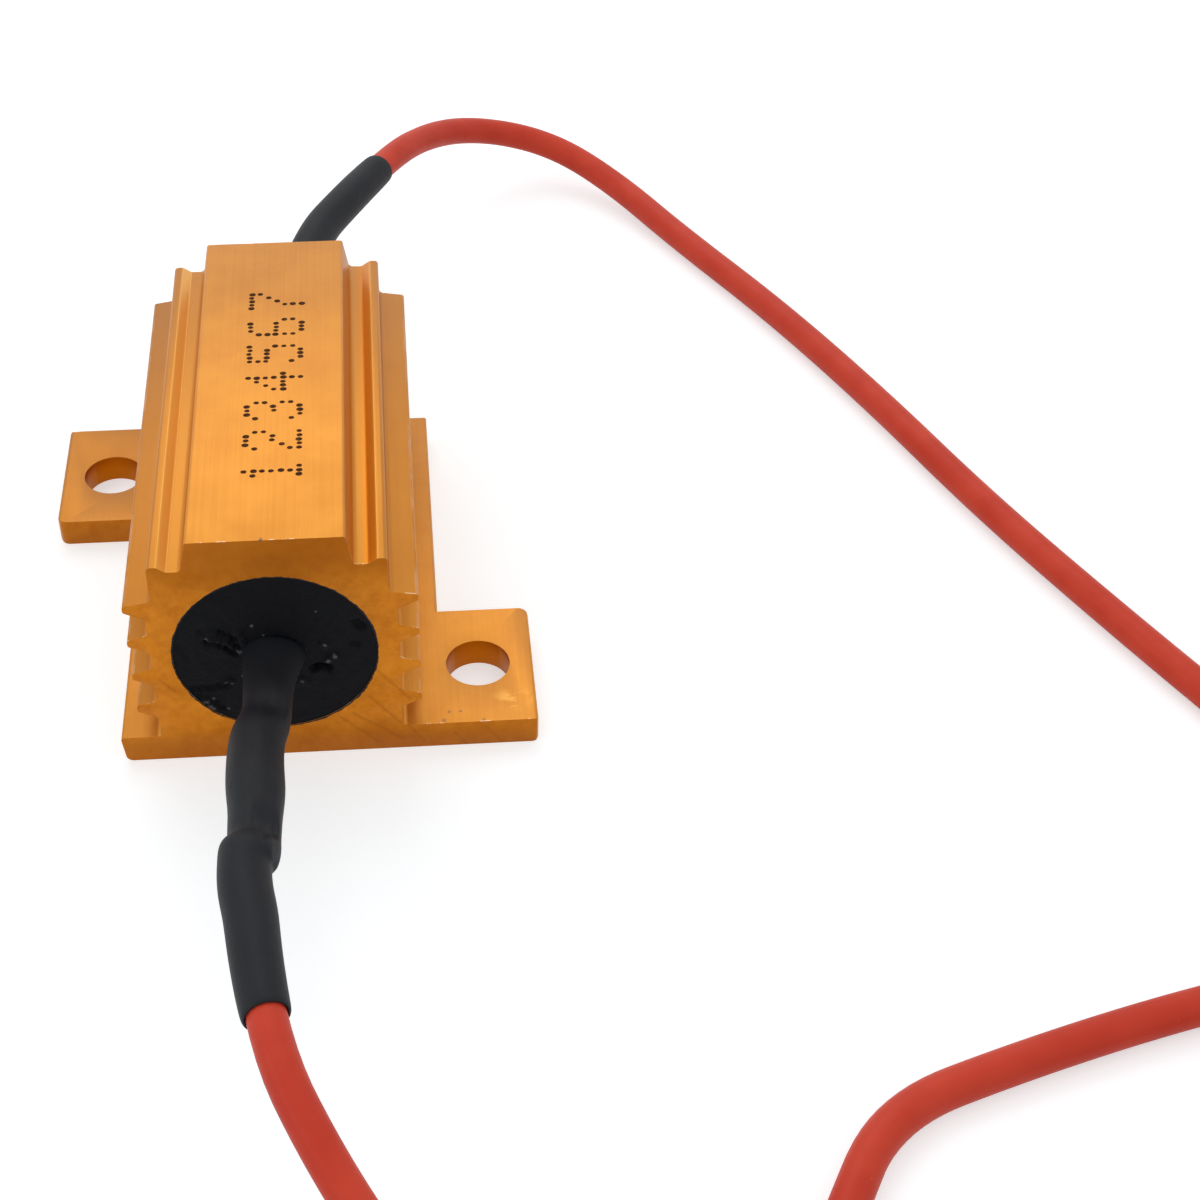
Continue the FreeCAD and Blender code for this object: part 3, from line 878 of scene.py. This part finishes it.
# Shrunk sleeves: a loop pulled along the blade and then along the lead
# Each station on the blade is (across, along, up, width, height) in millimetres; on the lead it is
# (distance in metres, width, height). Each dent is (across, along, up), its reach and its push.
sleeves = {
    "sides": 28,
    "rounding": 2,
    "wall": 0.00022,
    "near": {
        "blade": [
            (-0.08, -13.71, 7.6, 3.35, 2.6), (-0.10, -14.0, 7.6, 3.4, 2.6),
            (-0.18, -14.7, 7.6, 3.05, 2.45), (-0.28, -15.7, 7.62, 2.78, 2.3),
            (-0.32, -16.7, 7.66, 2.62, 2.25), (-0.32, -17.7, 7.68, 2.56, 2.2),
            (-0.36, -18.5, 7.7, 2.62, 2.2), (-0.54, -19.3, 7.75, 2.86, 2.3),
            (-0.78, -20.1, 7.8, 2.92, 2.35), (-0.86, -21.1, 7.83, 2.92, 2.4),
            (-0.84, -22.4, 7.87, 2.94, 2.45), (-0.76, -23.7, 7.86, 3.0, 2.55),
            (-0.73, -24.7, 7.78, 2.8, 2.65), (-0.75, -25.5, 7.75, 2.68, 2.7),
            (-0.76, -26.3, 7.75, 2.66, 2.7), (-0.75, -27.05, 7.82, 2.6, 2.6),
            (-0.78, -27.45, 7.94, 2.82, 2.6), (-0.90, -27.82, 8.0, 3.04, 2.72),
            (-1.04, -28.15, 8.0, 3.0, 2.7), (-1.15, -28.6, 8.0, 2.64, 2.6),
            (-1.15, -29.2, 8.0, 2.64, 2.5), (-1.05, -30.3, 8.0, 2.64, 2.46),
        ],
        "lead": [
            (0.0042, 2.62, 2.44), (0.0056, 2.56, 2.4), (0.0070, 2.5, 2.38), (0.0084, 2.44, 2.36),
            (0.0094, 2.38, 2.34), (0.0099, 2.32, 2.3),
        ],
        "dents": [
            ((-0.1, -27.0, 9.1), 0.62, (0, 0, -0.3)),
            ((0.1, -26.5, 8.9), 0.66, (-0.04, 0, -0.42)),
            ((0.3, -26.9, 8.6), 0.5, (-0.06, 0, -0.2)),
            ((0.35, -28.3, 8.2), 0.45, (-0.14, 0, 0)), ((0.2, -18.7, 8.7), 0.6, (0, 0, -0.26)),
            ((-0.5, -18.6, 8.8), 0.6, (0, 0, -0.2)), ((-1.6, -21.2, 8.6), 0.9, (0.1, 0, -0.1)),
            ((-0.4, -24.4, 9.1), 0.7, (0, 0, -0.12)),
        ],
    },
    "far": {
        "blade": [
            (0.05, 13.71, 7.6, 3.3, 2.5), (0.12, 14.3, 7.6, 3.1, 2.45),
            (0.32, 16.0, 7.65, 2.7, 2.35), (0.62, 18.2, 7.75, 2.6, 2.35),
            (0.88, 20.4, 7.85, 2.8, 2.4), (1.0, 21.7, 7.9, 3.2, 2.35),
            (1.12, 22.6, 7.9, 3.15, 2.35), (1.4, 23.7, 7.9, 2.72, 2.4),
            (1.68, 24.9, 7.9, 2.62, 2.42), (2.05, 26.2, 7.95, 2.56, 2.42),
        ],
        "lead": [
            (0.0002, 2.5, 2.42), (0.0014, 2.48, 2.42), (0.0030, 2.46, 2.42), (0.0048, 2.44, 2.4),
            (0.0062, 2.4, 2.38), (0.0074, 2.34, 2.34), (0.0082, 2.28, 2.28), (0.0086, 2.2, 2.2),
        ],
        "dents": [
            ((1.5, 24.0, 9.0), 0.8, (0, 0, -0.16)), ((5.2, 33.0, 9.1), 0.9, (0, 0, -0.08)),
        ],
    },
}


def makeSleeve(end, line, name):
    deselectAll()
    spec = sleeves[end]
    stations = [(Vector(s[:3]) * mm, s[3] * mm, s[4] * mm) for s in spec["blade"]]
    stations += [(alongLine(line, d), w * mm, h * mm) for d, w, h in spec["lead"]]
    centres = [s[0] for s in stations]
    headings = []
    for i, centre in enumerate(centres):
        run = centres[min(i + 1, len(centres) - 1)] - centres[max(i - 1, 0)]
        headings.append(math.atan2(-run.x, run.y))
    start, width, height = stations[0]
    bpy.ops.mesh.primitive_circle_add(vertices=sleeves["sides"], radius=0.5, fill_type="NOTHING",
                                      location=start, rotation=(math.radians(90), 0, headings[0]))
    sleeve = bpy.context.object
    sleeve.scale = (width, height, 1)
    bpy.ops.object.transform_apply(location=True, rotation=True, scale=True)
    bpy.ops.object.mode_set(mode="EDIT")
    bpy.ops.mesh.select_all(action="SELECT")
    for i in range(1, len(stations)):
        centre, wide, tall = stations[i]
        step = centre - centres[i - 1]
        bpy.ops.mesh.extrude_region_move(TRANSFORM_OT_translate={"value": step})
        turned = headings[i] - headings[i - 1]
        bpy.ops.transform.rotate(value=-turned, orient_axis="Z", center_override=centre)
        ratio = (wide / width, wide / width, tall / height)
        bpy.ops.transform.resize(value=ratio, center_override=centre)
        width, height = wide, tall
    bpy.ops.mesh.select_all(action="SELECT")
    bpy.ops.mesh.normals_make_consistent(inside=False)
    for at, reach, push in spec["dents"]:
        selectNear(sleeve, Vector(at) * mm, reach * mm)
        bpy.ops.transform.translate(value=Vector(push) * mm)
    bpy.ops.object.mode_set(mode="OBJECT")
    wall = sleeve.modifiers.new("wall", "SOLIDIFY")
    wall.thickness = sleeves["wall"]
    wall.offset = -1
    rounding = sleeve.modifiers.new("round", "SUBSURF")
    rounding.levels = rounding.render_levels = sleeves["rounding"]
    applyAll(sleeve)
    bpy.ops.object.shade_smooth()
    finishPiece(sleeve, name, "shrink_sleeve", "sleeve_" + end)
    return sleeve


sleeveNear = makeSleeve("near", nearLine, "sleeveNear")
sleeveFar = makeSleeve("far", farLine, "sleeveFar")


# Bare ends: seven tinned strands twisted together, pulled along the inmost turn of each coil
strands = {
    "around": 6,
    "radius": 0.00015,
    "sides": 10,
    "length": 0.006,
    "hidden": 0.0002,       # how far they start inside the insulation
    "steps": 20,
    "twist": 13,            # degrees at each step
    "splay": (1.0, 1.0, 1.03, 1.05),    # at the last steps
    "smoothAngle": 50,
    "bend": {"near": 0.00895, "far": 0.01},
}


def makeStrands(end, line, name):
    deselectAll()
    turn = leads[end]["turn"]
    bend = strands["bend"][end]
    upright = Vector((0, 0, 1))
    way = (line[-1] - line[-2]).normalized()
    heading = math.atan2(-way.x, way.y)
    across = Vector((-way.y, way.x, 0))
    start = line[-1] - way * strands["hidden"]
    places = [start]
    for i in range(strands["around"]):
        angle = 2 * math.pi * i / strands["around"]
        offset = across * math.cos(angle) + upright * math.sin(angle)
        places.append(start + offset * strands["radius"] * 2)
    for place in places:
        bpy.ops.mesh.primitive_circle_add(vertices=strands["sides"], radius=strands["radius"],
                                          fill_type="NGON", location=place,
                                          rotation=(math.radians(90), 0, heading))
        bpy.ops.object.mode_set(mode="EDIT")
    bpy.ops.mesh.select_mode(type="FACE")
    bpy.ops.mesh.select_all(action="SELECT")
    bpy.ops.mesh.extrude_region_move(TRANSFORM_OT_translate={"value": way * strands["hidden"]})
    centre = line[-1]
    pivot = centre + across * turn * bend
    sweep = strands["length"] / strands["steps"] / bend * turn
    twist = math.radians(strands["twist"])
    for i in range(strands["steps"]):
        after = pivot + Matrix.Rotation(sweep, 3, "Z") @ (centre - pivot)
        bpy.ops.mesh.extrude_region_move(TRANSFORM_OT_translate={"value": after - centre})
        bpy.ops.transform.rotate(value=-sweep, orient_axis="Z", center_override=after)
        heading += sweep
        forward = Vector((-math.sin(heading), math.cos(heading), 0))
        axes = Matrix((forward.cross(upright), forward, upright)).transposed()
        bpy.ops.transform.rotate(value=twist, orient_axis="Y", orient_matrix=axes,
                                 orient_type="GLOBAL", orient_matrix_type="GLOBAL",
                                 center_override=after)
        left = strands["steps"] - 1 - i
        if left < len(strands["splay"]):
            wider = strands["splay"][-1 - left]
            bpy.ops.transform.resize(value=(wider, wider, wider), center_override=after)
        centre = after
    bpy.ops.mesh.select_all(action="SELECT")
    bpy.ops.mesh.normals_make_consistent(inside=False)
    bpy.ops.object.mode_set(mode="OBJECT")
    bundle = bpy.context.object
    bpy.ops.object.shade_smooth_by_angle(angle=math.radians(strands["smoothAngle"]))
    finishPiece(bundle, name, "tinned_strands", "lead_" + end + "_tip")
    return bundle


strandsNear = makeStrands("near", nearLine, "strandsNear")
strandsFar = makeStrands("far", farLine, "strandsFar")


# Printed row on the top strip: plain counting numbers in dots
printed = {
    "text": "1234567",
    "height": 15.5,
    "first": -8.9,          # along, where the row starts
    "glyphStep": 2.62,
    "dotStep": 0.36,        # along the row
    "lineStep": 0.48,       # across the glyph
    "left": -1.2,           # across, at the glyphs' tops
    "dotWidth": 0.35,
    "dotLength": 0.3,
    "lift": 0.004,
    "sides": 10,
    "offAcross": 0.03,      # how far a dot may stray, and how much its size may vary
    "offAlong": 0.02,
    "offSize": 0.15,
    "glyphs": {
        "1": "00100 01100 00100 00100 00100 00100 01110",
        "2": "01110 10001 00001 00110 01000 10000 11111",
        "3": "01110 10001 00001 00110 00001 10001 01110",
        "4": "00010 00110 01010 10010 11111 00010 00010",
        "5": "11111 10000 11110 00001 00001 10001 01110",
        "6": "01110 10000 10000 11110 10001 10001 01110",
        "7": "11111 00001 00010 00100 01000 01000 01000",
    },
}


def dotPlaces():
    for g, glyph in enumerate(printed["text"]):
        for row, bits in enumerate(printed["glyphs"][glyph].split()):
            for column, bit in enumerate(bits):
                if bit == "1":
                    across = printed["left"] + row * printed["lineStep"]
                    along = printed["first"] + g * printed["glyphStep"]
                    yield across, along + column * printed["dotStep"]


def stray(most):
    return random.uniform(-most, most)


def makePrint():
    deselectAll()
    random.seed(4)
    up = printed["height"] + printed["lift"]
    shape = (printed["dotWidth"], printed["dotLength"], 1)
    for across, along in dotPlaces():
        across += stray(printed["offAcross"])
        along += stray(printed["offAlong"])
        at = Vector((across, along, up)) * mm
        radius = 0.5 * mm * (1 + stray(printed["offSize"]))
        bpy.ops.mesh.primitive_circle_add(vertices=printed["sides"], radius=radius,
                                          fill_type="NGON", location=at)
        bpy.ops.transform.resize(value=shape, center_override=at)
        bpy.ops.object.mode_set(mode="EDIT")
    bpy.ops.object.mode_set(mode="OBJECT")
    finishPiece(bpy.context.object, "printedNumbers", "gold_aluminium", look=inkLook())


makePrint()


# Floor, world and lamps
studio = {
    "floorSize": 3.0,
    "worldFill": 0.7,
    "keyPower": 0.7,
    "keySize": 0.4,
    "keyAt": (-0.06, 0.38, 0.5),
    "sidePower": 0.35,
    "sideSize": 0.3,
    "sideAt": (-0.5, -0.1, 0.35),
    "floorColour": (0.66, 0.69, 0.705, 1),
    "floorLift": 0.52,
    "floorRoughness": 0.9,
}


def seenDirectly(graph):
    rays = graph.tree.nodes.new("ShaderNodeLightPath")
    kinds = ("Is Camera Ray", "Is Glossy Ray", "Is Transmission Ray")
    return highest([Signal(graph, rays.outputs[kind]) for kind in kinds])


def makeStudio():
    deselectAll()
    bpy.ops.mesh.primitive_plane_add(size=studio["floorSize"])
    floor = bpy.context.object
    floor.name = "floor"
    look = Look("floorWhite")
    floor.data.materials.append(look.finish(
        Base_Color=studio["floorColour"],
        Roughness=studio["floorRoughness"],
        Emission_Color=(1, 1, 1, 1),
        Emission_Strength=seenDirectly(look) * studio["floorLift"],
    ))
    world = bpy.data.worlds.new("studioWorld")
    bpy.context.scene.world = world
    world.use_nodes = True
    back = world.node_tree.nodes["Background"]
    back.inputs["Color"].default_value = (1, 1, 1, 1)
    sky = seenDirectly(Graph(world.node_tree))
    strength = sky * (1 - studio["worldFill"]) + studio["worldFill"]
    world.node_tree.links.new(strength.socket, back.inputs["Strength"])
    for name in ("key", "side"):
        at = Vector(studio[name + "At"])
        towards = (-at).to_track_quat("-Z", "Y").to_euler()
        bpy.ops.object.light_add(type="AREA", location=at, rotation=towards)
        lamp = bpy.context.object.data
        lamp.energy = studio[name + "Power"]
        lamp.size = studio[name + "Size"]


makeStudio()
print("studio set")


bpy.context.scene.view_settings.view_transform = "Standard"
